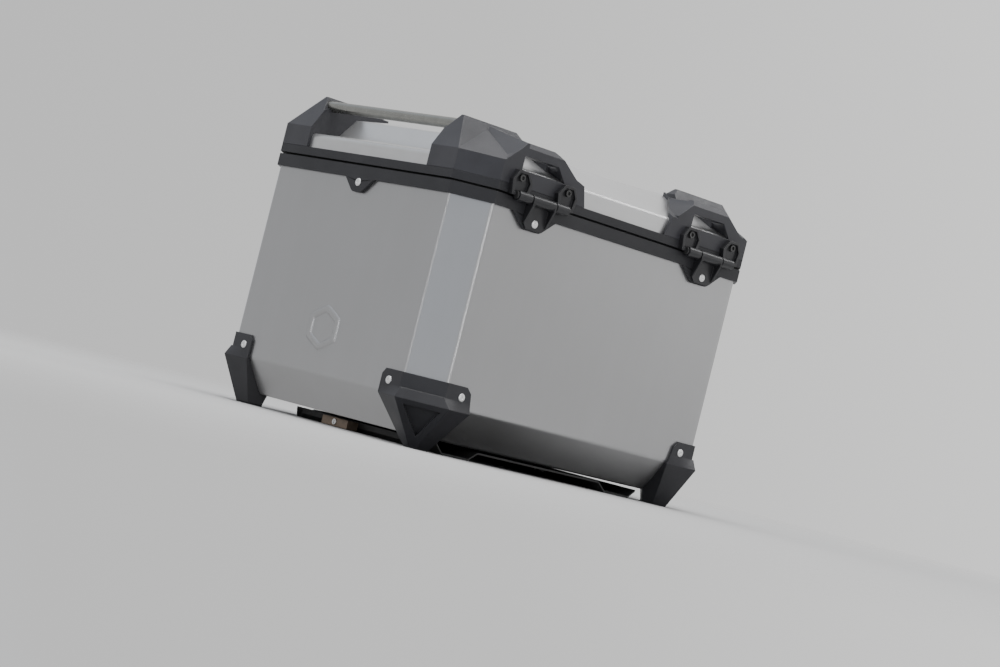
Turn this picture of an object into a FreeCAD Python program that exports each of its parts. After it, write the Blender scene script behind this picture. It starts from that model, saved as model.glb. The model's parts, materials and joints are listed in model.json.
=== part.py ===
"""Motorcycle top case with a side-hinged lid, built from separate pieces.

Frame: X points to the hinge side, -Y to the rear end of the case, +Z up.
The origin lies on the plane of the feet and the adapter's pads, at the middle of
the four rack bolts.
All lengths are millimetres.
"""
import FreeCAD
import Part
import Sketcher
import math
import os

doc = FreeCAD.newDocument("TopCase")
sheet = doc.addObject("Spreadsheet::Sheet", "Sizes")

SIDES = {"right": 1, "left": -1}
ENDS = {"rear": -1, "front": 1}


# ---------------------------------------------------------------------------
# Lengths that remember the spreadsheet formula behind them
# ---------------------------------------------------------------------------
class Size:
    """A number together with the formula that ties it to the spreadsheet."""

    def __init__(self, value, formula=None):
        self.value = float(value)
        self.formula = formula if formula else f"({self.value:.9g})"

    def __add__(self, other):
        return combine(self, "+", other)

    def __radd__(self, other):
        return combine(other, "+", self)

    def __sub__(self, other):
        return combine(self, "-", other)

    def __rsub__(self, other):
        return combine(other, "-", self)

    def __mul__(self, other):
        return combine(self, "*", other)

    def __rmul__(self, other):
        return combine(other, "*", self)

    def __truediv__(self, other):
        return combine(self, "/", other)

    def __neg__(self):
        return combine(-1, "*", self)


def size(number):
    return number if isinstance(number, Size) else Size(number)


def combine(first, sign, second):
    a = size(first)
    b = size(second)
    results = {"+": a.value + b.value, "-": a.value - b.value, "*": a.value * b.value}
    value = a.value / b.value if sign == "/" else results[sign]
    return Size(value, f"({a.formula} {sign} {b.formula})")


def tangent(degrees):
    angle = size(degrees)
    return Size(math.tan(math.radians(angle.value)), f"tan({angle.formula})")


def cell(alias, number):
    """Write one driving dimension to the spreadsheet and return it as a Size."""
    row = cell.next_row
    cell.next_row += 1
    sheet.set(f"A{row}", alias)
    sheet.set(f"B{row}", str(number))
    sheet.setAlias(f"B{row}", alias)
    return Size(number, f"Sizes.{alias}")


cell.next_row = 1

# Tub
case_width = cell("caseWidth", 324)
case_length = cell("caseLength", 410)
corner_cut = cell("cornerCut", 30.3)
gauge = cell("sheetGauge", 1.5)
bend_radius = cell("bendRadius", 5)
rim_height = cell("rimHeight", 243)
kink_height = cell("kinkHeight", 46)
bevel_inset = cell("bevelInset", 33.8)

# Rims and seal
rim_outset = cell("rimOutset", 3.6)
rim_inset = cell("rimInset", 6)
body_rim_depth = cell("bodyRimDepth", 12.3)
wall_grip = cell("wallGrip", 9)
seam_gap = cell("seamGap", 2)
seal_clearance = cell("sealClearance", 0.3)
lid_rim_depth = cell("lidRimDepth", 8.6)

# Lid sheet
lid_skirt = cell("lidSkirt", 17)
side_crest = cell("sideCrest", 40.5)
side_slope = cell("sideSlope", 22.6)
end_crest = cell("endCrest", 37.3)
step_inner = cell("stepInner", 171)
step_top = cell("stepTop", 42.7)
crest_radius = cell("crestRadius", 5)
brow_outer = cell("browOuter", 154)
brow_low = cell("browLow", 63.3)
brow_inner = cell("browInner", 114)
brow_high = cell("browHigh", 71)
lid_middle = cell("lidMiddle", 66)

# Lid corner pieces and rails
inner_flank = cell("innerFlank", 93.5)
peak_inner = cell("peakInner", 103.5)
peak_outer = cell("peakOuter", 107)
peak_top = cell("peakTop", 78.4)
peak_set_back = cell("peakSetBack", 189)
belt_line = cell("beltLine", 43.5)
hinge_spacing = cell("hingeSpacing", 243)
rail_diameter = cell("railDiameter", 11)
rail_set_back = cell("railSetBack", 185.5)
rail_line = cell("railLine", 69.4)

# Hinges and latches
pin_line = cell("pinLine", 14)
pin_reach = cell("pinReach", 170.9)
pin_diameter = cell("pinDiameter", 5)
barrel_radius = cell("barrelRadius", 5.1)
pin_fit = cell("pinFit", 0.05)
barrel_middle = cell("barrelMiddle", 15.5)
arm_offset = cell("armOffset", 31.5)

# Feet and adapter
foot_plate = cell("footPlate", 2.5)
adapter_half_width = cell("adapterHalfWidth", 130)
adapter_half_length = cell("adapterHalfLength", 141)
adapter_gauge = cell("adapterGauge", 2)
mount_width = cell("mountWidth", 200)
mount_length = cell("mountLength", 230)
mount_hole = cell("mountHole", 6.6)
rivet_head = cell("rivetHead", 8)
rivet_cap = cell("rivetCap", 1.2)
rivet_grip = cell("rivetGrip", 7)

floor_height = kink_height - bevel_inset
pin_head = pin_diameter * 1.4
barrel_end = barrel_middle + 18.5
lid_base = rim_height + body_rim_depth + seam_gap
rim_top = lid_base + lid_rim_depth
outer_half_width = case_width / 2 + rim_outset
outer_half_length = case_length / 2 + rim_outset
root_two = Size(math.sqrt(2), "sqrt(2)")


# ---------------------------------------------------------------------------
# Building blocks
# ---------------------------------------------------------------------------
nodes = {}


def keep(label, made):
    """Give a finished sub-part its name; the name is also its file's name."""
    made.Label = label
    nodes[label] = made
    return made


def origin_plane(body, role):
    return [item for item in body.Origin.OriginFeatures if item.Role == role][0]


def sketch_outline(body, role, outline, offset):
    """Sketch a closed outline, each corner bound to its formula."""
    sketch = body.newObject("Sketcher::SketchObject", "Outline")
    sketch.AttachmentSupport = (origin_plane(body, role), [""])
    sketch.MapMode = "FlatFace"
    corners = [(size(across), size(along)) for across, along in outline]
    points = [FreeCAD.Vector(across.value, along.value, 0) for across, along in corners]
    count = len(points)
    lines = [Part.LineSegment(points[i], points[(i + 1) % count]) for i in range(count)]
    sketch.addGeometry(lines)
    joins = [Sketcher.Constraint("Coincident", i, 2, (i + 1) % count, 1) for i in range(count)]
    sketch.addConstraint(joins)
    for index, corner in enumerate(corners):
        for kind, place in zip(("DistanceX", "DistanceY"), corner):
            rule = Sketcher.Constraint(kind, -1, 1, index, 1, place.value)
            number = sketch.addConstraint(rule)
            sketch.setExpression(f"Constraints[{number}]", place.formula)
    sketch.setExpression("AttachmentOffset.Base.z", size(offset).formula)
    return sketch


def prism(role, outline, start, end):
    """Pad an outline between two stations along the axis normal to its plane.

    The outline is (X, Y) on XY_Plane, (X, Z) on XZ_Plane and (Y, Z) on YZ_Plane.
    """
    body = doc.addObject("PartDesign::Body", "Prism")
    low, high = size(start), size(end)
    offset = -high if role == "XZ_Plane" else low
    sketch = sketch_outline(body, role, outline, offset)
    pad = body.newObject("PartDesign::Pad", "Pad")
    pad.Profile = sketch
    pad.setExpression("Length", (high - low).formula)
    return body


def rod(radius, start, end, centre, axis="Z"):
    """A cylinder along X, Y or Z between two stations; centre is the other two places."""
    made = doc.addObject("Part::Cylinder", "Rod")
    low, high = size(start), size(end)
    made.setExpression("Radius", size(radius).formula)
    made.setExpression("Height", (high - low).formula)
    first, second = size(centre[0]), size(centre[1])
    places = {"X": (low, first, second), "Y": (first, low, second), "Z": (first, second, low)}
    turns = {
        "X": FreeCAD.Rotation(FreeCAD.Vector(0, 1, 0), 90),
        "Y": FreeCAD.Rotation(FreeCAD.Vector(1, 0, 0), -90),
        "Z": FreeCAD.Rotation(),
    }
    made.Placement = FreeCAD.Placement(FreeCAD.Vector(0, 0, 0), turns[axis])
    for letter, place in zip("xyz", places[axis]):
        made.setExpression(f"Placement.Base.{letter}", place.formula)
    return made


def block(low, high):
    """A box between two opposite corners."""
    made = doc.addObject("Part::Box", "Block")
    for letter, name, near, far in zip("xyz", ("Length", "Width", "Height"), low, high):
        made.setExpression(name, (size(far) - size(near)).formula)
        made.setExpression(f"Placement.Base.{letter}", size(near).formula)
    return made


def fuse(*shapes):
    made = doc.addObject("Part::MultiFuse", "Fuse")
    made.Shapes = list(shapes)
    made.Refine = True
    return made


def group(*shapes):
    """Separate solids that share one node, such as a set of rivets."""
    made = doc.addObject("Part::Compound", "Group")
    made.Links = list(shapes)
    return made


def cut(base, *tools):
    made = base
    for tool in tools:
        step = doc.addObject("Part::Cut", "Cut")
        step.Base = made
        step.Tool = tool
        step.Refine = True
        made = step
    return made


def common(*shapes):
    made = shapes[0]
    for other in shapes[1:]:
        step = doc.addObject("Part::Common", "Common")
        step.Base = made
        step.Tool = other
        step.Refine = True
        made = step
    return made


def mirror(source, axis):
    made = doc.addObject("Part::Mirroring", "Mirror")
    made.Source = source
    made.Normal = FreeCAD.Vector(axis == "X", axis == "Y", 0)
    return made


def octagon(inset):
    """Plan outline of the case moved inwards by inset (outwards if negative)."""
    half_width = case_width / 2 - inset
    half_length = case_length / 2 - inset
    clip = corner_cut - (2 - root_two) * size(inset)
    return [
        (half_width, half_length - clip),
        (half_width - clip, half_length),
        (clip - half_width, half_length),
        (-half_width, half_length - clip),
        (-half_width, clip - half_length),
        (clip - half_width, -half_length),
        (half_width - clip, -half_length),
        (half_width, clip - half_length),
    ]


def ring(outer_inset, inner_inset, low, high):
    outer = prism("XY_Plane", octagon(outer_inset), low, high)
    inner = prism("XY_Plane", octagon(inner_inset), low - 1, high + 1)
    return cut(outer, inner)


def stud(axis, sign, face, centre, head, cap, shank, reach):
    """A headed pin along X or Y: its head stands out of a face, its shank goes in.

    face is the distance of the face from the middle plane, on the side given by sign.
    """
    spans = [(head, face, face + cap), (shank, face - reach, face)]
    rods = []
    for diameter, low, high in spans:
        start, end = (low, high) if sign > 0 else (-high, -low)
        rods.append(rod(diameter / 2, start, end, centre, axis))
    return fuse(*rods)


def rivet(axis, sign, face, centre):
    return stud(axis, sign, face, centre, rivet_head, rivet_cap, rivet_head / 2, rivet_grip)


def rounded(base, radius, wanted):
    """Fillet the edges of a shape that the function wanted picks."""
    doc.recompute()
    made = doc.addObject("Part::Fillet", "Rounded")
    made.Base = base
    picks = [index + 1 for index, edge in enumerate(base.Shape.Edges) if wanted(edge)]
    made.Edges = [(index, radius.value, radius.value) for index in picks]
    return made


def placed(made, *steps):
    """Turn a finished prism: each step is an axis letter and an angle, or a shift."""
    placement = FreeCAD.Placement()
    axes = {"X": (1, 0, 0), "Y": (0, 1, 0), "Z": (0, 0, 1)}
    for kind, amount in steps:
        if kind == "move":
            shift = FreeCAD.Vector(*[size(part).value for part in amount])
            step = FreeCAD.Placement(shift, FreeCAD.Rotation())
        else:
            turn = FreeCAD.Rotation(FreeCAD.Vector(*axes[kind]), amount)
            step = FreeCAD.Placement(FreeCAD.Vector(), turn)
        placement = step.multiply(placement)
    made.Placement = placement
    return made


def in_order(first, second):
    """Two stations as (low, high)."""
    return (first, second) if size(first).value < size(second).value else (second, first)


def above_rim(height):
    """Height over the ground of something measured from the body rim's lower edge."""
    return rim_height + height


# ---------------------------------------------------------------------------
# Tub, rims and seal
# ---------------------------------------------------------------------------
def tub(skin, top):
    """Octagonal solid with upright walls and a 45 degree bevel down to the floor.

    skin moves every face inwards (outwards if negative); top is the upper end.
    """
    body = doc.addObject("PartDesign::Body", "Tub")
    shift = (root_two - 1) * size(skin)
    stations = [
        (size(skin), top),
        (size(skin), kink_height + shift),
        (bevel_inset + shift, floor_height + skin),
    ]
    sketches = [
        sketch_outline(body, "XY_Plane", octagon(inset), level) for inset, level in stations
    ]
    loft = body.newObject("PartDesign::AdditiveLoft", "Loft")
    loft.Profile = sketches[0]
    loft.Sections = sketches[1:]
    loft.Ruled = True
    return body


def make_body_shell(holes):
    """Folded aluminium tub with rounded bends."""
    wall_top = rim_height + wall_grip
    below_mouth = lambda edge: edge.CenterOfMass.z < wall_top.value - 1
    outer = rounded(tub(0, wall_top), bend_radius, below_mouth)
    cavity = tub(gauge, wall_top + 1)
    above_mouth = wall_top.value
    below_cavity_top = lambda edge: edge.CenterOfMass.z < above_mouth
    inner = rounded(cavity, bend_radius - gauge, below_cavity_top)
    return keep("body_shell", cut(outer, inner, *holes))


def tab(axis, sign, middle, outline):
    """Flat tongue hanging from the body rim, in the rim's outer plane."""
    role = "YZ_Plane" if axis == "X" else "XZ_Plane"
    reach = outer_half_width if axis == "X" else outer_half_length
    start = reach - rim_outset
    span = (start, reach) if sign > 0 else (-reach, -start)
    points = [(middle + across, above_rim(level)) for across, level in outline]
    return prism(role, points, *span)


END_TAB = [(-21.8, 1), (-21.8, 0), (-9.2, -12), (-6, -14), (6, -14), (9.2, -12), (21.8, 0), (21.8, 1)]
HINGE_TAB = [(-29, 1), (-29, 0), (-14, -12.5), (-10, -14.8), (10, -14.8), (14, -12.5), (29, 0), (29, 1)]
END_RIVET_LEVEL = -4.3
HINGE_RIVET_LEVEL = -7.3


def make_body_rim(holes):
    """Rim that grips the tub's edge, with tongues behind its rivets and hinges."""
    band = ring(-rim_outset, rim_inset, rim_height, rim_height + body_rim_depth)
    tabs = [tab("Y", end, size(0), END_TAB) for end in ENDS.values()]
    tabs += [tab("X", 1, end * hinge_spacing / 2, HINGE_TAB) for end in ENDS.values()]
    return keep("body_rim_frame", cut(fuse(band, *tabs), nodes["body_shell"], *holes))


def make_seal():
    """Rubber seal lying on the body rim, just clear of the lid rim."""
    seal_outer = 1.8
    seal_inner = 5.2
    low = rim_height + body_rim_depth
    high = low + seam_gap - seal_clearance
    return keep("rim_seal", ring(seal_outer, seal_inner, low, high))


def make_lid_rim():
    wall_slot = ring(0, gauge, above_rim(lid_skirt), rim_top + 1)
    band = ring(-rim_outset, rim_inset, lid_base, rim_top)
    return keep("lid_rim_frame", cut(band, wall_slot))


# ---------------------------------------------------------------------------
# Lid sheet
# ---------------------------------------------------------------------------
def shrunk(outline, distance):
    """Move every edge of a convex or dished outline inwards by a distance."""
    corners = [FreeCAD.Vector(size(a).value, size(b).value, 0) for a, b in outline]
    count = len(corners)
    moved = []
    for index, corner in enumerate(corners):
        before = (corner - corners[index - 1]).normalize()
        after = (corners[(index + 1) % count] - corner).normalize()
        normal_before = FreeCAD.Vector(before.y, -before.x, 0)
        normal_after = FreeCAD.Vector(after.y, -after.x, 0)
        middle = normal_before + normal_after
        step = middle * (2 * distance / middle.dot(middle))
        moved.append((corner.x + step.x, corner.y + step.y))
    return moved


def open_below(outline):
    """Lower the first and last corners, so that a cavity runs out at the bottom."""
    first, last = outline[0], outline[-1]
    drop = 10
    return [(first[0], first[1] - drop)] + outline[1:-1] + [(last[0], last[1] - drop)]


def on_crest(edge, skin):
    """True for the long bends round the lid: side crests, end crests and brow feet."""
    if edge.Length < 2 * brow_inner.value:
        return False
    middle = edge.CenterOfMass
    side_bend = abs(abs(middle.x) - case_width.value / 2 + skin) < 1
    end_bend = abs(abs(middle.y) - case_length.value / 2 + skin) < 1
    above_skirt = middle.z > above_rim(lid_skirt).value + 10
    return above_skirt and (side_bend or end_bend)


def filled_lid(skin):
    """The lid's outside as a full solid, or its inside when skin is the sheet gauge."""
    base = above_rim(lid_skirt)
    end_half = [
        (case_length / 2, end_crest),
        (step_inner, step_top),
        (brow_outer, brow_low),
        (brow_inner, brow_high),
    ]
    rear_to_front = [(-case_length / 2, lid_skirt)]
    rear_to_front += [(-reach, level) for reach, level in end_half]
    rear_to_front += [(reach, level) for reach, level in reversed(end_half)]
    rear_to_front += [(case_length / 2, lid_skirt)]
    end_outline = [(reach, above_rim(level)) for reach, level in rear_to_front]
    ridge = 20
    ridge_level = side_crest + (case_width / 2 - ridge) * tangent(side_slope)
    side_outline = [
        (-case_width / 2, base),
        (-case_width / 2, above_rim(side_crest)),
        (-ridge, above_rim(ridge_level)),
        (ridge, above_rim(ridge_level)),
        (case_width / 2, above_rim(side_crest)),
        (case_width / 2, base),
    ]
    sag = brow_high - lid_middle
    dish_radius = (brow_inner * brow_inner + sag * sag) / (2 * sag)
    dish_axis = above_rim(lid_middle + dish_radius)
    if skin.value > 0:
        end_outline = open_below(shrunk(end_outline, skin.value))
        side_outline = open_below(shrunk(side_outline, skin.value))
        base = base - 2 * skin
    plan = prism("XY_Plane", octagon(skin), base, above_rim(peak_top))
    ends = prism("YZ_Plane", end_outline, -case_width, case_width)
    sides = prism("XZ_Plane", side_outline, -case_length, case_length)
    dish = rod(dish_radius + skin, -case_width, case_width, (0, dish_axis), "X")
    crowned = common(plan, ends, sides)
    bent = rounded(crowned, crest_radius - skin, lambda edge: on_crest(edge, skin.value))
    return cut(bent, dish)


def make_lid_panel(holes):
    return keep("lid_panel", cut(filled_lid(size(0)), filled_lid(gauge), *holes))


# ---------------------------------------------------------------------------
# Lid corner pieces: end cheek, corner wedge, side apron and lashing arch
# ---------------------------------------------------------------------------
APRON_THICKNESS = 4
APRON_START = 50
APRON_END = 171
CHEEK_INNER_END = 111
ARCH = {"start": -52, "rise": -34.5, "fall": 16, "foot": 41.5, "end": 52.5}
WINDOW = {"near": -31, "far_top": 15, "far_bottom": 27, "sill": 39, "head": 52.5}
BAR_DEPTH = 12.5
ARCH_TOP = 66
WEDGE_PEAK = {"across": 114, "along": 161, "level": 70}
WEDGE_TURN = 0.173
WEDGE_FALL = 0.459
RAMP_FALL = 0.274
RAMP_RISE = 1.068
CROWN_RISE = 0.19
SADDLE_END = 150


def corner_plan(end):
    """Plan outline of a right-hand corner piece at the rear (-1) or front (+1)."""
    clip = corner_cut + (2 - root_two) * rim_outset
    mouth = 61 if end < 0 else 55
    points = [
        (inner_flank, outer_half_length),
        (outer_half_width - clip, outer_half_length),
        (outer_half_width, outer_half_length - clip),
        (outer_half_width, mouth),
        (case_width / 2 - 2, mouth + 5),
        (peak_inner, CHEEK_INNER_END),
        (inner_flank, CHEEK_INNER_END + 2),
    ]
    return [(across, end * size(along)) for across, along in points]


def end_cheek(end):
    """Ridge beside the rail, falling steeply to the outside."""
    outline = [
        (inner_flank, rim_top),
        (inner_flank, above_rim(60)),
        (peak_inner, above_rim(peak_top)),
        (peak_outer, above_rim(peak_top)),
        (133, above_rim(belt_line)),
        (148, rim_top),
    ]
    span = sorted([end * 215, end * CHEEK_INNER_END])
    return prism("XZ_Plane", outline, *span)


def corner_wedge(end):
    """Shallow facet over the clipped corner of the plan."""
    clip = corner_cut + (2 - root_two) * rim_outset
    reach = (outer_half_width + outer_half_length - clip) / root_two
    outline = [
        (150, rim_top),
        (reach, rim_top),
        (reach, above_rim(belt_line)),
        (reach - 53.7, above_rim(belt_line + 31)),
        (150, above_rim(belt_line + 31)),
    ]
    along = sorted([end * 110, -end * 60])
    slab = placed(prism("XZ_Plane", outline, *along), ("Z", end * 45))
    plan = [(114, end * 161), (90, end * 161), (90, end * 215), (180, end * 215), (180, end * 173.5)]
    return common(slab, prism("XY_Plane", plan, rim_top, above_rim(peak_top)))


def corner_saddle(end):
    """Facet that joins the corner wedge to the arch, or leads down from it at the front."""
    body = doc.addObject("PartDesign::Body", "Saddle")
    sketches = []
    for across in (peak_outer, outer_half_width):
        from_peak = across - WEDGE_PEAK["across"]
        if end < 0:
            ramp = WEDGE_PEAK["level"] - RAMP_FALL * from_peak
            crown = ARCH_TOP + (160 - across) * CROWN_RISE
            low = WEDGE_PEAK["along"] + (ramp - 20) / RAMP_RISE
            high = WEDGE_PEAK["along"] + (ramp - crown) / RAMP_RISE
            outline = [(low, 20), (high, crown), (SADDLE_END, crown), (SADDLE_END, 20)]
        else:
            edge = WEDGE_PEAK["along"] + from_peak * WEDGE_TURN + 0.6
            crest = WEDGE_PEAK["level"] - from_peak * WEDGE_FALL - 0.5
            outline = [(edge, 20), (edge, crest), (edge - (crest - 20), 20)]
        points = [(end * along, above_rim(level)) for along, level in outline]
        sketches.append(sketch_outline(body, "YZ_Plane", points, across))
    loft = body.newObject("PartDesign::AdditiveLoft", "Loft")
    loft.Profile = sketches[0]
    loft.Sections = sketches[1:]
    loft.Ruled = True
    return body


def side_arch(end):
    """Side apron and arch in one block, up to the arch's outline."""
    middle = end * hinge_spacing / 2
    outline = [
        (ARCH["start"], 20),
        (ARCH["start"], 45.5),
        (ARCH["rise"], 60.7),
        (ARCH["rise"] + 4.5, ARCH_TOP),
        (ARCH["fall"] - 5, ARCH_TOP),
        (ARCH["fall"], 63.5),
        (ARCH["foot"], 46.5),
        (ARCH["end"], 43),
        (ARCH["end"], 20),
    ]
    points = [(middle + across, above_rim(level)) for across, level in outline]
    block_over_side = prism("YZ_Plane", points, inner_flank, outer_half_width)
    bevel = [
        (outer_half_width - 6, above_rim(ARCH_TOP + 1)),
        (outer_half_width - 6, above_rim(ARCH_TOP)),
        (outer_half_width, above_rim(60.5)),
        (outer_half_width + 1, above_rim(60.5)),
        (outer_half_width + 1, above_rim(ARCH_TOP + 1)),
    ]
    bevel_span = (middle + ARCH["start"], middle + ARCH["end"])
    return cut(block_over_side, prism("XZ_Plane", bevel, *bevel_span))


def apron(end):
    """Thin cover following the lid's side slope."""
    rise = tangent(side_slope)
    outer_level = side_crest + APRON_THICKNESS - rim_outset * rise
    inner_level = side_crest + APRON_THICKNESS + (case_width / 2 - inner_flank) * rise
    outline = [
        (inner_flank, rim_top),
        (inner_flank, above_rim(inner_level)),
        (outer_half_width, above_rim(outer_level)),
        (outer_half_width, rim_top),
    ]
    span = sorted([end * APRON_START, end * APRON_END])
    return prism("XZ_Plane", outline, *span)


def end_slope(end):
    """Envelope that leans the end face back from the belt line up to the peak."""
    outline = [
        (outer_half_length, rim_top),
        (outer_half_length, above_rim(belt_line)),
        (peak_set_back, above_rim(peak_top)),
        (118, above_rim(peak_top)),
        (109, above_rim(70)),
        (68, above_rim(70)),
        (68 if end < 0 else 62, above_rim(belt_line)),
        (61 if end < 0 else 55, rim_top),
    ]
    points = [(end * size(along), level) for along, level in outline]
    return prism("YZ_Plane", points, inner_flank - 5, outer_half_width + 5)


def lashing_window(end):
    """Side window under the arch, with the strap slot behind the bar."""
    middle = end * hinge_spacing / 2
    outline = [
        (WINDOW["near"], WINDOW["sill"]),
        (WINDOW["near"], WINDOW["head"]),
        (WINDOW["far_top"], WINDOW["head"]),
        (WINDOW["far_bottom"], WINDOW["sill"]),
    ]
    points = [(middle + across, above_rim(level)) for across, level in outline]
    bar_inside = outer_half_width - BAR_DEPTH
    window = prism("YZ_Plane", points, bar_inside - 5, outer_half_width + 5)
    slot_low = (124, middle + WINDOW["near"], above_rim(WINDOW["sill"] - 10))
    slot_high = (bar_inside, middle + WINDOW["far_top"], above_rim(peak_top + 5))
    return fuse(window, block(slot_low, slot_high))


def make_corner(end, tools):
    """Right-hand corner piece with every hole cut."""
    plan = prism("XY_Plane", corner_plan(end), rim_top, above_rim(peak_top))
    solid = fuse(end_cheek(end), corner_wedge(end), corner_saddle(end), side_arch(end), apron(end))
    shaped = common(solid, plan, end_slope(end))
    return cut(shaped, lashing_window(end), filled_lid(size(0)), *tools)


def make_rail(end):
    reach = inner_flank + 12
    centre = (end * rail_set_back, above_rim(rail_line))
    outer = rod(rail_diameter / 2, -reach, reach, centre, "X")
    bore = rod(rail_diameter / 2 - gauge, -reach, reach, centre, "X")
    name = "rear" if end < 0 else "front"
    return keep(f"rail_tube_{name}", cut(outer, bore))


def rail_socket(end):
    reach = inner_flank + 12
    centre = (end * rail_set_back, above_rim(rail_line))
    return rod(rail_diameter / 2, -reach, reach, centre, "X")


# ---------------------------------------------------------------------------
# Corner protectors under the tub
# ---------------------------------------------------------------------------
PROTECTOR_TOP = 68.5
FOOT_WIDEST = 44
RIVET_LEVEL = 57.8
END_RIVET_REACH = 115.2
SIDE_RIVET_REACH = 156


def protector_plates():
    """Plates against the end wall, the clipped corner and the side wall."""
    end_view = [(103.8, 43), (103.8, 63), (108, PROTECTOR_TOP), (180, PROTECTOR_TOP), (180, 43)]
    side_view = [(215, 43), (215, PROTECTOR_TOP), (151, PROTECTOR_TOP), (145, 63), (141, 43)]
    covers = tub(-foot_plate, 90)
    over_end = prism("XZ_Plane", end_view, 100, 250)
    over_side = prism("YZ_Plane", side_view, 90, 200)
    return common(covers, over_end, over_side)


def protector_foot():
    """Tapering foot: it bulges below the plates and narrows to a small sole."""
    body = doc.addObject("PartDesign::Body", "Foot")
    shoulder = [(108, 207.5), (135, 207.5), (164.5, 178), (164.5, 144), (130, 144), (108, 165)]
    widest = [(104.5, 207.5), (135.5, 213), (173, 175.5), (164.5, 140.5), (128, 140.5), (104.5, 163)]
    sole = [(124, 177), (138, 181.5), (142, 177.5), (140, 160), (131, 154), (118, 164)]
    sections = [(54, shoulder), (FOOT_WIDEST, widest), (0, sole)]
    sketches = [
        sketch_outline(body, "XY_Plane", outline, level) for level, outline in sections
    ]
    loft = body.newObject("PartDesign::AdditiveLoft", "Loft")
    loft.Profile = sketches[0]
    loft.Sections = sketches[1:]
    loft.Ruled = True
    return body


def protector_recess():
    """Sunken triangle in the foot's sloping outer face."""
    half_width = 18.3
    drop = 30
    depth = 4.5
    widest_reach = 246.4
    sole_reach = 225.9
    margin = 5.5
    lean = math.degrees(math.atan2(widest_reach - sole_reach, FOOT_WIDEST))
    outline = [(-half_width, 0), (half_width, 0), (0, -drop)]
    wedge = prism("YZ_Plane", outline, -depth, 20)
    top_edge = (
        widest_reach - margin * math.sin(math.radians(lean)),
        27.4,
        FOOT_WIDEST - margin * math.cos(math.radians(lean)),
    )
    return placed(wedge, ("Y", lean), ("move", top_edge), ("Z", 45))


def make_protector(tools):
    """Front right corner protector; the other three are its mirror images."""
    solid = fuse(protector_plates(), protector_foot())
    return cut(solid, protector_recess(), tub(0, 90), *tools)


def protector_rivets():
    """Two rivets for each of the four protectors."""
    rivets = []
    for end in ENDS.values():
        for side in SIDES.values():
            end_face = case_length / 2 + foot_plate
            side_face = case_width / 2 + foot_plate
            rivets.append(rivet("Y", end, end_face, (side * END_RIVET_REACH, RIVET_LEVEL)))
            rivets.append(rivet("X", side, side_face, (end * SIDE_RIVET_REACH, RIVET_LEVEL)))
    return group(*rivets)


# ---------------------------------------------------------------------------
# Hinges on the right-hand side
# ---------------------------------------------------------------------------
BRACKET_PLATE = 2
GUSSET = 2.2
BARREL_GAP = 1.5
PIN_HEAD_ROOM = 2
ARM_DEPTH = 5.4
ARM_SCREW_LEVEL = 31
POCKET_DEPTH = 2.8
HEX_PAD = [(-6.5, 38), (6.5, 38), (12.5, 28), (10, 13.5), (-11, 13.5), (-14, 28)]


def pin_rod(radius, start, end):
    return rod(radius, start, end, (pin_reach, above_rim(pin_line)), "Y")


def make_hinge_bracket(middle, tools):
    """Riveted plate with two gussets that carry the middle barrel of the hinge."""
    face = outer_half_width
    outline = [(-15.5, 11), (-15.5, -8), (-10, -14), (10, -14), (15.5, -8), (15.5, 11)]
    points = [(middle + across, above_rim(level)) for across, level in outline]
    plate = prism("YZ_Plane", points, face, face + BRACKET_PLATE)
    side_view = [
        (face, above_rim(-8)),
        (face + 3, above_rim(-9)),
        (pin_reach + barrel_radius, above_rim(9)),
        (pin_reach + barrel_radius, above_rim(pin_line)),
        (pin_reach, above_rim(pin_line)),
        (face, above_rim(11)),
    ]
    gussets = []
    for side in SIDES.values():
        inner = barrel_middle - GUSSET
        near, far = (inner, barrel_middle) if side > 0 else (-barrel_middle, -inner)
        gussets.append(prism("XZ_Plane", side_view, middle + near, middle + far))
    barrel = pin_rod(barrel_radius, middle - barrel_middle, middle + barrel_middle)
    bore = pin_rod(pin_diameter / 2, middle - 40, middle + 40)
    return cut(fuse(plate, barrel, *gussets), bore, *tools)


def make_hinge_arm(middle, side, tools):
    """Recessed six-sided pad on the lid with a barrel for the hinge pin."""
    centre = middle + side * arm_offset
    face = outer_half_width
    points = [(centre + side * across, above_rim(level)) for across, level in HEX_PAD]
    pad = prism("YZ_Plane", points, face, face + ARM_DEPTH)
    pocket_outline = [
        (centre + side * across * 0.76, above_rim(27 + (level - 27) * 0.76))
        for across, level in HEX_PAD
    ]
    pocket_floor = face + ARM_DEPTH - POCKET_DEPTH
    pocket = prism("YZ_Plane", pocket_outline, pocket_floor, face + ARM_DEPTH + 1)
    stations = (barrel_middle + BARREL_GAP, barrel_end, barrel_end + PIN_HEAD_ROOM)
    near, far, beyond = [middle + side * station for station in stations]
    barrel = pin_rod(barrel_radius, *in_order(near, far))
    bore = pin_rod(pin_diameter / 2 + pin_fit, *in_order(near - side, far + side))
    head_room = pin_rod(pin_head / 2 + 0.4, *in_order(far, beyond))
    return cut(fuse(pad, barrel), pocket, bore, head_room, *tools)


def make_hinge_pin(middle):
    """Steel pin held by the middle barrel, with a low head at each end."""
    reach = barrel_end + 0.3
    shank = pin_rod(pin_diameter / 2, middle - reach, middle + reach)
    cap = 1.2
    heads = [
        pin_rod(pin_head / 2, middle - reach - cap, middle - reach),
        pin_rod(pin_head / 2, middle + reach, middle + reach + cap),
    ]
    return fuse(shank, *heads)


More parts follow.
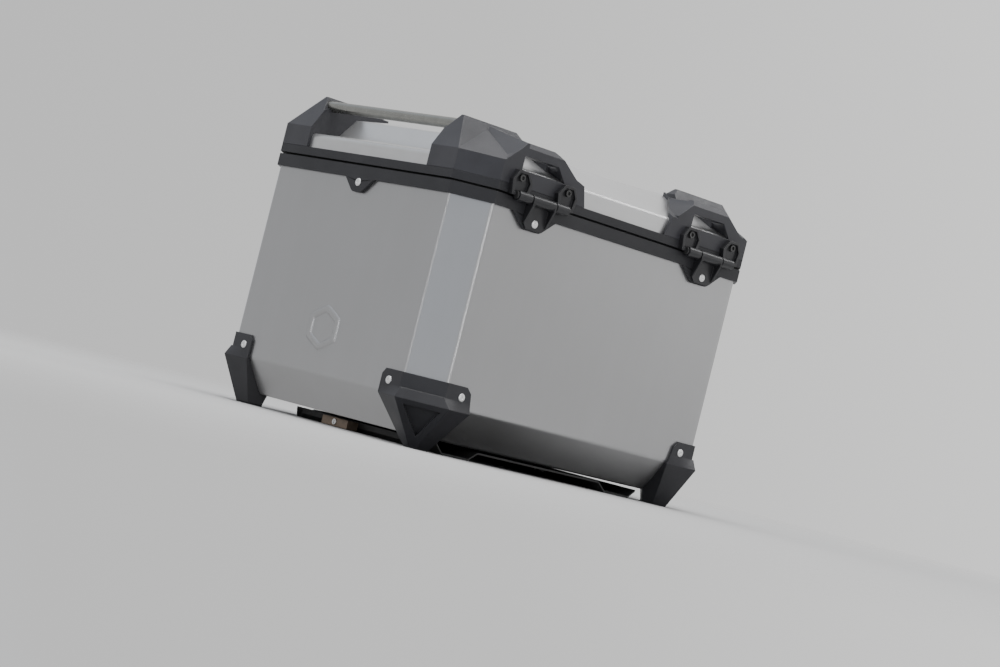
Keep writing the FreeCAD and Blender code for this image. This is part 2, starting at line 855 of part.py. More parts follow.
def lid_screw(side, along, head_face, level):
    """Button-head screw with a hexagon socket, through the lid wall."""
    head = 7
    cap = 2.4
    shank = 5
    inner_face = case_width / 2 - gauge
    reach = head_face - inner_face + 5
    centre = (along, above_rim(level))
    made = stud("X", side, head_face, centre, head, cap, shank, reach)
    socket = []
    for corner in range(6):
        angle = math.radians(60 * corner)
        socket.append((along + 2 * math.cos(angle), above_rim(level) + 2 * math.sin(angle)))
    near, far = head_face + cap - 1.4, head_face + cap + 1
    span = (near, far) if side > 0 else (-far, -near)
    return cut(made, prism("YZ_Plane", socket, *span))


def lid_nut(side, along, level):
    """Flange nut against the inside of the lid wall."""
    inner_face = case_width / 2 - gauge
    near, far = inner_face - 4, inner_face
    span = (near, far) if side > 0 else (-far, -near)
    corners = []
    for corner in range(6):
        angle = math.radians(60 * corner)
        corners.append((along + 4.6 * math.cos(angle), above_rim(level) + 4.6 * math.sin(angle)))
    body = prism("YZ_Plane", corners, *span)
    return cut(body, rod(2.5, span[0] - 1, span[1] + 1, (along, above_rim(level)), "X"))


# ---------------------------------------------------------------------------
# Draw latches on the left-hand side, drawn at the right and mirrored
# ---------------------------------------------------------------------------
LEVER_PIVOT = (173, 0)
LINK_PIVOT = (170.9, -9)
LOCK_LEVEL = -23
EAR = 2.5
LEVER_HALF = 15.7
LINK_HALF = 9
CATCH_SCREW = 31.5


def latch_rod(pivot, radius, start, end):
    return rod(radius, start, end, (pivot[0], above_rim(pivot[1])), "Y")


def latch_profile(outline, start, end):
    points = [(across, above_rim(level)) for across, level in outline]
    return prism("XZ_Plane", points, start, end)


def make_latch_base(middle, tools):
    """Riveted base with two ears for the lever's stub pins."""
    wall = case_width / 2
    face = outer_half_width
    back = latch_profile([(wall, -42), (wall, 0), (face, 0), (face, 9), (168, 9), (168, -42)],
                         middle - 19, middle + 19)
    ear_outline = [(wall, -14), (wall, 0), (face, 0), (face, 9), (176, 7), (178, 0), (174, -12)]
    ears = []
    for side in SIDES.values():
        near, far = sorted([side * 16, side * (16 + EAR)])
        ear = latch_profile(ear_outline, middle + near, middle + far)
        ears.append(cut(ear, latch_rod(LEVER_PIVOT, 1.5, middle - 30, middle + 30)))
    return cut(fuse(back, *ears), *tools)


def make_latch_lever(middle):
    """Fold-down lever: a fork that straddles the link, over a flat handle."""
    outline = [
        (168.9, -14),
        (168.9, -2),
        (169.7, 3),
        (174, 4.4),
        (180, -1),
        (180, -37),
        (178, -40),
        (176, -40),
        (174, -14),
    ]
    solid = latch_profile(outline, middle - LEVER_HALF, middle + LEVER_HALF)
    channel_outline = [(160, 8), (190, 8), (190, -14), (160, -16)]
    channel_half = LINK_HALF + 0.6
    channel = latch_profile(channel_outline, middle - channel_half, middle + channel_half)
    holes = [
        latch_rod(LEVER_PIVOT, 1.5 + pin_fit, middle - 30, middle + 30),
        latch_rod(LINK_PIVOT, 1.25, middle - 12.5, middle + 12.5),
        rod(6 + pin_fit, 150, 190, (middle, above_rim(LOCK_LEVEL)), "X"),
    ]
    return cut(solid, channel, *holes)


def make_stub_pins(middle):
    """Two short pins that carry the lever, one in each ear."""
    pins = []
    for side in SIDES.values():
        near, far = sorted([side * 11, side * (16 + EAR)])
        pins.append(latch_rod(LEVER_PIVOT, 1.5, middle + near, middle + far))
    return group(*pins)


def make_latch_link(middle):
    """Upright link from the lever to the catch on the lid, with a narrow lip."""
    strip = latch_profile([(169, -9), (169, 36), (171, 36), (171, -9)],
                          middle - LINK_HALF, middle + LINK_HALF)
    eye = latch_rod(LINK_PIVOT, 2, middle - LINK_HALF, middle + LINK_HALF)
    lip = latch_profile([(167.4, 33), (167.4, 36), (170, 36), (170, 33)], middle - 5, middle + 5)
    hole = latch_rod(LINK_PIVOT, 1.25 + pin_fit, middle - 30, middle + 30)
    return cut(fuse(strip, eye, lip), hole)


def make_catch(middle, tools):
    """Plate on the lid with two noses; the link's lip stands between them."""
    face = outer_half_width
    outline = [(-38, 20), (-38, 33), (-33, 37), (33, 37), (38, 33), (38, 20)]
    points = [(middle + across, above_rim(level)) for across, level in outline]
    plate = prism("YZ_Plane", points, face, face + 1.6)
    noses = []
    for side in SIDES.values():
        near, far = sorted([side * 10, side * 20])
        nose = latch_profile([(166, 26), (166, 35), (172, 33), (172, 29)], middle + near, middle + far)
        noses.append(nose)
    return cut(fuse(plate, *noses), *tools)


def make_lock_cylinder(middle):
    """Cylinder lock plug with a key slot, turning in the lever's face."""
    plug = rod(6, 176.6, 181.4, (middle, above_rim(LOCK_LEVEL)), "X")
    slot_low = (180, middle - 0.6, above_rim(LOCK_LEVEL) - 3.6)
    slot_high = (185, middle + 0.6, above_rim(LOCK_LEVEL) + 3.6)
    return cut(plug, block(slot_low, slot_high))


# ---------------------------------------------------------------------------
# Adapter under the floor
# ---------------------------------------------------------------------------
PAD_LEVEL = 2
HIGH_LEVEL = 10
BOLT_PLACES = [(side * 70, end * 60) for side in SIDES.values() for end in ENDS.values()]
INNER_PLATE = 2


def make_adapter_plate(bolts):
    """Pressed plate: a high middle against the floor and low pads for the rack."""
    half = [(0, HIGH_LEVEL), (86, HIGH_LEVEL), (97, PAD_LEVEL), (132, PAD_LEVEL),
            (adapter_half_length, HIGH_LEVEL)]
    upper = [(-reach, level) for reach, level in reversed(half[1:])] + half[1:]
    lower = [(reach, level - adapter_gauge) for reach, level in reversed(upper)]
    sheet_metal = prism("YZ_Plane", upper + lower, -adapter_half_width, adapter_half_width)
    clip_x = 90
    clip_y = 98
    plan = [
        (adapter_half_width, -adapter_half_length),
        (adapter_half_width, adapter_half_length),
        (-clip_x, adapter_half_length),
        (-adapter_half_width, clip_y),
        (-adapter_half_width, -clip_y),
        (-clip_x, -adapter_half_length),
    ]
    trimmed = common(sheet_metal, prism("XY_Plane", plan, -1, HIGH_LEVEL + 5))
    flange_low = (-clip_x + 10, -adapter_half_length, HIGH_LEVEL - 6)
    flange_high = (adapter_half_width - 20, -adapter_half_length + adapter_gauge, HIGH_LEVEL)
    rear_flange = block(flange_low, flange_high)
    holes = [
        rod(mount_hole / 2, -1, 20, (side * mount_width / 2, end * mount_length / 2))
        for side in SIDES.values() for end in ENDS.values()
    ]
    return keep("adapter_plate", cut(fuse(trimmed, rear_flange), *holes, *bolts))


def adapter_bolt(place):
    """Flat-head bolt from below the plate up through the floor."""
    under = HIGH_LEVEL - adapter_gauge
    head = rod(6, under - 3, under, place)
    shank = rod(3, under, floor_height + gauge + INNER_PLATE + 7, place)
    return fuse(head, shank)


def adapter_nut(place):
    low = floor_height + gauge + INNER_PLATE
    corners = []
    for corner in range(6):
        angle = math.radians(60 * corner)
        corners.append((place[0] + 5.8 * math.cos(angle), place[1] + 5.8 * math.sin(angle)))
    body = prism("XY_Plane", corners, low, low + 5)
    return cut(body, rod(3, low - 1, low + 6, place))


def adapter_spacer(place):
    """Rubber washer between the adapter plate and the floor."""
    ring_outer = rod(10, HIGH_LEVEL, floor_height, place)
    return cut(ring_outer, rod(3, HIGH_LEVEL - 1, floor_height + 1, place))


def make_inner_plate(bolts):
    low = floor_height + gauge
    plate = block((-95, -85, low), (95, 85, low + INNER_PLATE))
    return keep("inner_floor_plate", cut(plate, *bolts))


def make_adapter_lock():
    """Lock housing behind the adapter's rear flange, with a turning key plug."""
    left, right = -30, 10
    rear = -adapter_half_length - 14
    low, high = 0.5, 9
    centre = ((left + right) / 2, (low + high) / 2)
    housing = block((left, rear, low), (right, -adapter_half_length, high))
    bore = rod(3 + pin_fit, rear - 1, rear + 7.2, centre, "Y")
    keep("adapter_lock_housing", cut(housing, bore))
    plug = rod(3, rear - 1, rear + 7, centre, "Y")
    slot_low = (centre[0] - 0.4, rear - 2, centre[1] - 2)
    slot_high = (centre[0] + 0.4, rear - 0.2, centre[1] + 2)
    keep("adapter_lock_plug", cut(plug, block(slot_low, slot_high)))


# ---------------------------------------------------------------------------
# Assembly
# ---------------------------------------------------------------------------
def build_case():
    """Make every sub-part in place."""
    end_rivets = group(*[
        rivet("Y", sign, outer_half_length, (0, above_rim(END_RIVET_LEVEL)))
        for sign in ENDS.values()
    ])
    foot_rivets = protector_rivets()
    bracket_face = outer_half_width + BRACKET_PLATE
    bracket_rivets = group(*[
        rivet("X", 1, bracket_face, (end * hinge_spacing / 2, above_rim(HINGE_RIVET_LEVEL)))
        for end in ENDS.values()
    ])
    latch_rivets = group(*[
        rivet("X", -1, size(168), (end * hinge_spacing / 2 + across, above_rim(-35)))
        for end in ENDS.values() for across in (-12, 12)
    ])
    screws = {}
    for side_name, side in SIDES.items():
        face = outer_half_width + (ARM_DEPTH - POCKET_DEPTH if side > 0 else size(1.6))
        places = [
            end * hinge_spacing / 2 + shift * arm_offset
            for end in ENDS.values() for shift in (-1, 1)
        ]
        screws[side_name] = group(*[
            lid_screw(side, along, face, ARM_SCREW_LEVEL) for along in places
        ])
        nuts = group(*[lid_nut(side, along, ARM_SCREW_LEVEL) for along in places])
        keep("hinge_nuts" if side > 0 else "catch_nuts", nuts)
    keep("hinge_screws", screws["right"])
    keep("catch_screws", screws["left"])
    lid_holes = list(screws.values())

    keep("rim_tab_rivets", end_rivets)
    keep("protector_rivets", foot_rivets)
    keep("hinge_bracket_rivets", bracket_rivets)
    keep("latch_base_rivets", latch_rivets)
    bolts = group(*[adapter_bolt(place) for place in BOLT_PLACES])
    keep("adapter_bolts", bolts)
    keep("adapter_nuts", group(*[adapter_nut(place) for place in BOLT_PLACES]))
    keep("adapter_spacers", group(*[adapter_spacer(place) for place in BOLT_PLACES]))

    wall_rivets = [end_rivets, foot_rivets, bracket_rivets, latch_rivets]
    make_body_shell([*wall_rivets, bolts])
    make_body_rim([end_rivets, bracket_rivets])
    make_seal()
    make_lid_rim()
    make_lid_panel(lid_holes)
    make_inner_plate([bolts])
    make_adapter_plate([bolts])
    make_adapter_lock()

    for end_name, end in ENDS.items():
        make_rail(end)
        right = make_corner(end, [rail_socket(end), screws["right"]])
        keep(f"lid_corner_{end_name}_right", right)
    for end_name, other in (("rear", "front"), ("front", "rear")):
        turned = mirror(mirror(nodes[f"lid_corner_{other}_right"], "X"), "Y")
        keep(f"lid_corner_{end_name}_left", turned)

    protector = keep("corner_protector_front_right", make_protector([foot_rivets]))
    keep("corner_protector_front_left", mirror(protector, "X"))
    rear_right = keep("corner_protector_rear_right", mirror(protector, "Y"))
    keep("corner_protector_rear_left", mirror(rear_right, "X"))

    for end_name, end in ENDS.items():
        middle = end * hinge_spacing / 2
        keep(f"hinge_bracket_{end_name}", make_hinge_bracket(middle, [bracket_rivets]))
        keep(f"hinge_pin_{end_name}", make_hinge_pin(middle))
        for arm_name, side in (("outer", end), ("inner", -end)):
            arm = make_hinge_arm(middle, side, [screws["right"]])
            keep(f"hinge_arm_{end_name}_{arm_name}", arm)
        base = cut(mirror(make_latch_base(middle, []), "X"), latch_rivets)
        keep(f"latch_base_{end_name}", base)
        keep(f"latch_pins_{end_name}", mirror(make_stub_pins(middle), "X"))
        keep(f"latch_lever_{end_name}", mirror(make_latch_lever(middle), "X"))
        link_pin = latch_rod(LINK_PIVOT, 1.25, middle - 12.5, middle + 12.5)
        keep(f"latch_link_pin_{end_name}", mirror(link_pin, "X"))
        keep(f"latch_link_{end_name}", mirror(make_latch_link(middle), "X"))
        keep(f"latch_lock_plug_{end_name}", mirror(make_lock_cylinder(middle), "X"))
        catch = cut(mirror(make_catch(middle, []), "X"), screws["left"])
        keep(f"latch_catch_{end_name}", catch)


def check_document():
    """Stop if any object failed or any sub-part is empty or broken."""
    for item in doc.Objects:
        if "Invalid" in item.State or "Error" in item.State:
            raise RuntimeError(f"{item.Name} ({item.Label}) failed: {item.State}")
    for label, made in nodes.items():
        shape = made.Shape
        if shape.isNull() or not shape.isValid() or not shape.Solids:
            raise RuntimeError(f"{label} has no valid solid")


def write_parts():
    os.makedirs("parts", exist_ok=True)
    for label, made in nodes.items():
        made.Shape.exportStep(os.path.join("parts", f"{label}.step"))
        print(f"{label:32s} {len(made.Shape.Solids):3d} solids {made.Shape.Volume:12.1f} mm3")


build_case()
doc.recompute()
check_document()
write_parts()
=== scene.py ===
"""Looks of the motorcycle top case: camera, studio, materials and fine detail."""
import json
import math

import bmesh
import bpy
from mathutils import Matrix, Vector


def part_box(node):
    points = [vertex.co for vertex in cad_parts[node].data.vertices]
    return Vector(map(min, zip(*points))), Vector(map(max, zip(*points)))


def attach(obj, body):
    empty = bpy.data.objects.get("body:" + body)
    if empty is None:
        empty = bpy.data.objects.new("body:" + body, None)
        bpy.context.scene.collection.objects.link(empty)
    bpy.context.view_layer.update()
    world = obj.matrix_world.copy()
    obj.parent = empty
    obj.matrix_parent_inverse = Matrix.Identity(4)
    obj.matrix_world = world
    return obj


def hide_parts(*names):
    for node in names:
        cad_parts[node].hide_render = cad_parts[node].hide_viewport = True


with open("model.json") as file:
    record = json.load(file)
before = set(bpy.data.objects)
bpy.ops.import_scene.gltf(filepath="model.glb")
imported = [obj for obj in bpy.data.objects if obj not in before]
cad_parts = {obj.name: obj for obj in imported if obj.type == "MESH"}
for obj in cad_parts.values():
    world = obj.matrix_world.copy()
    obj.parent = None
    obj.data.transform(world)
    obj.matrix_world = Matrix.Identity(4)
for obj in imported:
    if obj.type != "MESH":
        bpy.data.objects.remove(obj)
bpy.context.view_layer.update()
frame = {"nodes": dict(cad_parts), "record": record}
nodes = frame["nodes"]
MM = 0.001


# ---------------------------------------------------------------------------
# Camera
# ---------------------------------------------------------------------------
LENS_MM = 99.27
SENSOR_WIDTH_MM = 36
CAMERA_CLIP_END = 200
CAMERA_PLACE = (2.0979, -1.9137, 0.0495)
CAMERA_RIGHT = (0.66344, 0.70790, 0.24231)
CAMERA_FORWARD = (-0.73430, 0.67820, 0.02919)


def make_camera():
    """Long lens just above the floor, rolled so that the case leans in the frame."""
    camera_data = bpy.data.cameras.new("camera")
    camera_data.lens = LENS_MM
    camera_data.sensor_width = SENSOR_WIDTH_MM
    camera_data.clip_end = CAMERA_CLIP_END
    camera = bpy.data.objects.new("camera", camera_data)
    bpy.context.scene.collection.objects.link(camera)
    right = Vector(CAMERA_RIGHT).normalized()
    forward = Vector(CAMERA_FORWARD).normalized()
    up = right.cross(forward).normalized()
    turn = Matrix((right, up, -forward)).transposed().to_4x4()
    camera.matrix_world = Matrix.Translation(CAMERA_PLACE) @ turn
    bpy.context.scene.camera = camera


# ---------------------------------------------------------------------------
# Node helpers
# ---------------------------------------------------------------------------
EDGE_SAMPLES = 6
MIDDLE_THIRD = (0.35, 0.65)
MIDDLE = (0.3, 0.7)


class Graph:
    """Short names for the nodes that the materials share."""

    def __init__(self, name):
        self.material = bpy.data.materials.new(name)
        self.material.use_nodes = True
        self.tree = self.material.node_tree
        self.shader = self.tree.nodes["Principled BSDF"]
        self.place = self.add("ShaderNodeTexCoord").outputs["Object"]

    def add(self, kind, **values):
        node = self.tree.nodes.new(kind)
        for key, value in values.items():
            setattr(node, key, value)
        return node

    def link(self, source, target):
        self.tree.links.new(source, target)

    def stretched(self, scale):
        mapping = self.add("ShaderNodeMapping")
        mapping.inputs["Scale"].default_value = scale
        self.link(self.place, mapping.inputs["Vector"])
        return mapping.outputs["Vector"]

    def noise(self, scale, detail=3.0, roughness=0.55, stretch=(1, 1, 1)):
        node = self.add("ShaderNodeTexNoise")
        node.inputs["Scale"].default_value = scale
        node.inputs["Detail"].default_value = detail
        node.inputs["Roughness"].default_value = roughness
        self.link(self.stretched(stretch), node.inputs["Vector"])
        return node.outputs["Fac"]

    def cells(self, scale):
        node = self.add("ShaderNodeTexVoronoi")
        node.inputs["Scale"].default_value = scale
        self.link(self.place, node.inputs["Vector"])
        return node.outputs["Distance"]

    def spread(self, value, source, target=(0, 1)):
        """Map the source range of a value onto the target range."""
        node = self.add("ShaderNodeMapRange")
        self.link(value, node.inputs["Value"])
        keys = ("From Min", "From Max", "To Min", "To Max")
        for key, number in zip(keys, (*source, *target)):
            node.inputs[key].default_value = number
        return node.outputs["Result"]

    def maths(self, operation, first, second):
        node = self.add("ShaderNodeMath", operation=operation)
        for socket, value in zip(node.inputs, (first, second)):
            if isinstance(value, (int, float)):
                socket.default_value = value
            else:
                self.link(value, socket)
        return node.outputs[0]

    def blend(self, factor, dark, light):
        node = self.add("ShaderNodeMix", data_type="RGBA")
        self.link(factor, node.inputs[0])
        for socket, colour in ((node.inputs[6], dark), (node.inputs[7], light)):
            if isinstance(colour, tuple):
                socket.default_value = (*colour, 1.0)
            else:
                self.link(colour, socket)
        return node.outputs[2]

    def bump(self, height, distance, strength, under):
        """Bump on top of the normal in under."""
        node = self.add("ShaderNodeBump")
        node.inputs["Distance"].default_value = distance
        node.inputs["Strength"].default_value = strength
        self.link(height, node.inputs["Height"])
        self.link(under, node.inputs["Normal"])
        return node.outputs["Normal"]

    def soft_edges(self, radius):
        node = self.add("ShaderNodeBevel", samples=EDGE_SAMPLES)
        node.inputs["Radius"].default_value = radius
        return node.outputs["Normal"]


# ---------------------------------------------------------------------------
# Materials
# ---------------------------------------------------------------------------
def sheet_metal(name, dark, light, roughness, streak, edge_radius):
    """Anodised sheet: fine even grain, faint cloudiness, a few hairline scuffs."""
    metallic = 0.93
    cloud_share = 0.6
    sparkle_gain = 1.25
    scuff_roughness = 0.02
    graph = Graph(name)
    shader = graph.shader
    shader.inputs["Metallic"].default_value = metallic

    clouds = graph.noise(scale=9, detail=4)
    rolled = graph.noise(scale=60, detail=5, stretch=streak)
    clouds = graph.maths("MULTIPLY", clouds, cloud_share)
    rolled = graph.maths("MULTIPLY", rolled, 1 - cloud_share)
    tone = graph.maths("ADD", clouds, rolled)
    sheet_colour = graph.blend(graph.spread(tone, MIDDLE_THIRD), dark, light)
    sparkle = graph.spread(graph.noise(scale=2600, detail=2), (0.58, 0.75), (0, 0.5))
    sparkle_colour = tuple(min(1, channel * sparkle_gain) for channel in light)
    colour = graph.blend(sparkle, sheet_colour, sparkle_colour)
    graph.link(colour, shader.inputs["Base Color"])

    scuffs = graph.noise(scale=35, detail=8, roughness=0.7, stretch=(9, 9, 1.2))
    scuffs = graph.spread(scuffs, (0.66, 0.72))
    scuffs = graph.maths("MULTIPLY", scuffs, scuff_roughness)
    rough = graph.spread(graph.noise(scale=14, detail=6), MIDDLE, roughness)
    graph.link(graph.maths("ADD", rough, scuffs), shader.inputs["Roughness"])

    edges = graph.soft_edges(edge_radius)
    ripples = graph.noise(scale=7, detail=1)
    ripple = graph.bump(ripples, distance=0.8 * MM, strength=0.02, under=edges)
    grains = graph.noise(scale=1900, detail=3)
    grain = graph.bump(grains, distance=0.03 * MM, strength=0.3, under=ripple)
    graph.link(grain, shader.inputs["Normal"])
    return graph.material


def moulded_plastic(name, dark, light, roughness, grain, edge_radius):
    """Spark-eroded moulded plastic: pebbled grain, paler worn patches and dust."""
    specular = 0.38
    dust_gain = 2.2
    fine_per_coarse = 2.5
    graph = Graph(name)
    shader = graph.shader
    shader.inputs["Specular IOR Level"].default_value = specular

    clouds = graph.spread(graph.noise(scale=28, detail=5), MIDDLE_THIRD)
    body = graph.blend(clouds, dark, light)
    dust = graph.noise(scale=900, detail=4, roughness=0.7)
    dust = graph.spread(dust, (0.62, 0.74), (0, 0.35))
    dust_colour = tuple(channel * dust_gain for channel in light)
    graph.link(graph.blend(dust, body, dust_colour), shader.inputs["Base Color"])

    rough = graph.spread(graph.noise(scale=40, detail=6), MIDDLE, roughness)
    graph.link(rough, shader.inputs["Roughness"])

    pebbles = graph.spread(graph.cells(grain), (0, 0.6))
    edges = graph.soft_edges(edge_radius)
    coarse = graph.bump(pebbles, distance=0.12 * MM, strength=0.35, under=edges)
    specks = graph.noise(scale=grain * fine_per_coarse, detail=3)
    fine = graph.bump(specks, distance=0.05 * MM, strength=0.4, under=coarse)
    graph.link(fine, shader.inputs["Normal"])
    return graph.material


def coated_metal(name, dark, light, roughness, metallic, grain_height, streak, edge_radius=0.4 * MM):
    """Plated, powder-coated or drawn metal; streak draws its grain out along an axis."""
    graph = Graph(name)
    shader = graph.shader
    shader.inputs["Metallic"].default_value = metallic

    clouds = graph.spread(graph.noise(scale=90, detail=5), MIDDLE_THIRD)
    graph.link(graph.blend(clouds, dark, light), shader.inputs["Base Color"])

    lines = graph.noise(scale=500, detail=5, stretch=streak)
    graph.link(graph.spread(lines, MIDDLE, roughness), shader.inputs["Roughness"])
    edges = graph.soft_edges(edge_radius)
    grain = graph.bump(lines, distance=grain_height, strength=0.5, under=edges)
    graph.link(grain, shader.inputs["Normal"])
    return graph.material


def grey(level, tint=0.0):
    """A grey that leans to blue with a positive tint and to yellow with a negative one."""
    return (level, level, level * (1 + tint))


def streaks(axis, share):
    """Coordinate scale that draws a grain out along one axis."""
    return tuple(share if name == axis else 1 for name in "XYZ")


EVEN = (1, 1, 1)
PLASTIC_TINT = 0.16
CASTING_TINT = 0.12
TUBE_TINT = -0.06

SHEETS = {
    "tub_sheet": dict(
        dark=grey(0.405, 0.01), light=grey(0.42, 0.015), roughness=(0.29, 0.34),
        streak=streaks("Z", 0.06), edge_radius=3 * MM,
    ),
    "lid_sheet": dict(
        dark=grey(0.58), light=grey(0.64, 0.01), roughness=(0.30, 0.40),
        streak=streaks("Y", 0.06), edge_radius=4 * MM,
    ),
    "inner_sheet": dict(
        dark=grey(0.55), light=grey(0.62), roughness=(0.3, 0.4),
        streak=streaks("X", 0.06), edge_radius=1 * MM,
    ),
}
RIM_PLASTIC = dict(
    dark=grey(0.015, PLASTIC_TINT), light=grey(0.019, PLASTIC_TINT), roughness=(0.44, 0.54),
    grain=1500, edge_radius=0.6 * MM,
)
PLASTICS = {
    "body_rim_plastic": RIM_PLASTIC,
    "lid_rim_plastic": RIM_PLASTIC,
    "corner_plastic": dict(
        dark=grey(0.028, PLASTIC_TINT), light=grey(0.035, PLASTIC_TINT), roughness=(0.36, 0.46),
        grain=1300, edge_radius=1.0 * MM,
    ),
    "protector_plastic": dict(
        dark=grey(0.019, PLASTIC_TINT), light=grey(0.024, PLASTIC_TINT), roughness=(0.36, 0.46),
        grain=1300, edge_radius=1.2 * MM,
    ),
    "seal_rubber": dict(
        dark=grey(0.010), light=grey(0.014), roughness=(0.6, 0.75),
        grain=1800, edge_radius=0.4 * MM,
    ),
}
CASTING = dict(
    dark=grey(0.015, CASTING_TINT), light=grey(0.020, CASTING_TINT), roughness=(0.30, 0.42),
    metallic=0.1, grain_height=0.06 * MM, streak=EVEN, edge_radius=0.6 * MM,
)
METALS = {
    "rail_tube": dict(
        dark=grey(0.27, TUBE_TINT), light=grey(0.31, TUBE_TINT), roughness=(0.26, 0.31),
        metallic=0.95, grain_height=0.01 * MM, streak=streaks("X", 0.04),
    ),
    "hinge_casting": CASTING,
    "latch_casting": CASTING,
    "pin_steel": dict(
        dark=grey(0.10), light=grey(0.14), roughness=(0.3, 0.42),
        metallic=0.9, grain_height=0.02 * MM, streak=streaks("Y", 0.05),
    ),
    "link_steel": dict(
        dark=grey(0.42), light=grey(0.50), roughness=(0.24, 0.36),
        metallic=1.0, grain_height=0.02 * MM, streak=streaks("Z", 0.05),
    ),
    "lock_metal": dict(
        dark=grey(0.50), light=grey(0.58), roughness=(0.2, 0.3),
        metallic=1.0, grain_height=0.01 * MM, streak=EVEN,
    ),
    "rivet_metal": dict(
        dark=grey(0.72), light=grey(0.82), roughness=(0.3, 0.42),
        metallic=0.8, grain_height=0.02 * MM, streak=EVEN,
    ),
    "screw_steel": dict(
        dark=grey(0.05), light=grey(0.08), roughness=(0.25, 0.4),
        metallic=0.8, grain_height=0.02 * MM, streak=EVEN,
    ),
    "adapter_sheet": dict(
        dark=grey(0.020), light=grey(0.026), roughness=(0.4, 0.55),
        metallic=0.1, grain_height=0.08 * MM, streak=EVEN,
    ),
    "lock_housing_metal": dict(
        dark=(0.16, 0.12, 0.09), light=(0.21, 0.16, 0.12), roughness=(0.4, 0.55),
        metallic=0.4, grain_height=0.06 * MM, streak=EVEN,
    ),
}


def make_materials():
    """One material for every slot, under the slot's name."""
    made = {}
    for maker, finishes in ((sheet_metal, SHEETS), (moulded_plastic, PLASTICS), (coated_metal, METALS)):
        for name, finish in finishes.items():
            made[name] = maker(name, **finish)
    return made


def dress_nodes(materials):
    """Give each CAD node the finish of its slot."""
    for part in frame["record"]["subparts"]:
        mesh = nodes[part["node"]].data
        mesh.materials.clear()
        mesh.materials.append(materials[part["material_slot"]])


# ---------------------------------------------------------------------------
# Softened edges on moulded and cast pieces
# ---------------------------------------------------------------------------
WELD_DISTANCE = 0.01 * MM
BEVEL_SEGMENTS = 2
BEVEL_ANGLE = math.radians(28)
SHADING_WEIGHT = 80
EDGE_WIDTHS = {
    "lid_corner_rear": 1.2 * MM,
    "lid_corner_front": 0.5 * MM,
    "corner_protector": 1.3 * MM,
    "body_rim_frame": 0.5 * MM,
    "lid_rim_frame": 0.5 * MM,
    "hinge_bracket_rear": 0.4 * MM,
    "hinge_bracket_front": 0.4 * MM,
    "hinge_arm": 0.5 * MM,
    "latch_lever": 0.6 * MM,
    "latch_base_rear": 0.5 * MM,
    "latch_base_front": 0.5 * MM,
    "latch_catch": 0.3 * MM,
    "rail_tube": 0.3 * MM,
    "adapter_plate": 0.3 * MM,
}


def soften(node, width):
    """Weld the imported corners together, then round every sharp edge."""
    weld = node.modifiers.new("weld", "WELD")
    weld.merge_threshold = WELD_DISTANCE
    bevel = node.modifiers.new("bevel", "BEVEL")
    bevel.width = width
    bevel.segments = BEVEL_SEGMENTS
    bevel.limit_method = "ANGLE"
    bevel.angle_limit = BEVEL_ANGLE
    bevel.harden_normals = True
    bevel.miter_outer = "MITER_ARC"
    shading = node.modifiers.new("shading", "WEIGHTED_NORMAL")
    shading.mode = "FACE_AREA"
    shading.weight = SHADING_WEIGHT


def soften_edges():
    for name, node in nodes.items():
        for start, width in EDGE_WIDTHS.items():
            if name.startswith(start):
                soften(node, width)


# ---------------------------------------------------------------------------
# Fine pieces
# ---------------------------------------------------------------------------
RIVET_CAP = 1.2 * MM
RIVET_HEAD_RADIUS = 4 * MM
LATCH_RIVET_PITCH = 24 * MM
PROTECTOR_END_REACH = 115.2 * MM
PROTECTOR_SIDE_REACH = 156 * MM
LATHE_STEPS = 40

# (radius, height) in millimetres, from the shank in the wall over the dome to the hollow.
RIVET_PROFILE = [
    (2.0, -3.0), (2.0, -0.02), (3.95, -0.02), (4.0, 0.15), (3.9, 0.42), (3.5, 0.78), (2.9, 1.0),
    (2.2, 1.13), (1.55, 1.18), (1.3, 1.12), (1.18, 0.8), (1.1, 0.62), (0.95, 0.66), (0.4, 0.74),
]

EMBLEM_ACROSS = -2 * MM
EMBLEM_LEVEL = 92 * MM
EMBLEM_STRETCH = 1.15
# (hexagon radius, height) in millimetres, from the outer edge to the inner edge.
EMBLEM_PROFILE = [
    (23.6, -0.1), (22.9, 0.5), (21.8, 1.25), (20.8, 1.5),
    (17.8, 1.5), (16.8, 1.25), (15.7, 0.5), (15.0, -0.1),
]
HEXAGON_STEPS = 96
HEXAGON_SOFTNESS = 0.16
SOFT_REACH = 0.95


def mesh_piece(name, mesh_builder, slot, body, materials):
    """A smooth-shaded piece in a slot's finish that rides on a body."""
    mesh = bmesh.new()
    mesh_builder(mesh)
    bmesh.ops.recalc_face_normals(mesh, faces=mesh.faces)
    data = bpy.data.meshes.new(name)
    mesh.to_mesh(data)
    mesh.free()
    for face in data.polygons:
        face.use_smooth = True
    piece = bpy.data.objects.new(name, data)
    bpy.context.scene.collection.objects.link(piece)
    data.materials.append(materials[slot])
    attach(piece, body)
    return piece


def bridge(mesh, inner, outer):
    """Join two closed rings of the same number of points with faces."""
    steps = len(inner)
    for step in range(steps):
        after = (step + 1) % steps
        mesh.faces.new((inner[step], inner[after], outer[after], outer[step]))


def frame_from(normal):
    """The normal at unit length and two directions square to it."""
    normal = Vector(normal).normalized()
    aside = normal.cross(Vector((0, 0, 1))).normalized()
    return normal, aside, normal.cross(aside)


def lathe(mesh, centre, normal, profile):
    """Turn a (radius, height) profile round an axis through centre and close its ends."""
    normal, aside, across = frame_from(normal)
    rings = []
    for radius, height in profile:
        ring = []
        for step in range(LATHE_STEPS):
            angle = 2 * math.pi * step / LATHE_STEPS
            spoke = aside * math.cos(angle) + across * math.sin(angle)
            ring.append(mesh.verts.new(Vector(centre) + normal * height + spoke * radius))
        rings.append(ring)
    for inner, outer in zip(rings, rings[1:]):
        bridge(mesh, inner, outer)
    mesh.faces.new(rings[0])
    mesh.faces.new(rings[-1])


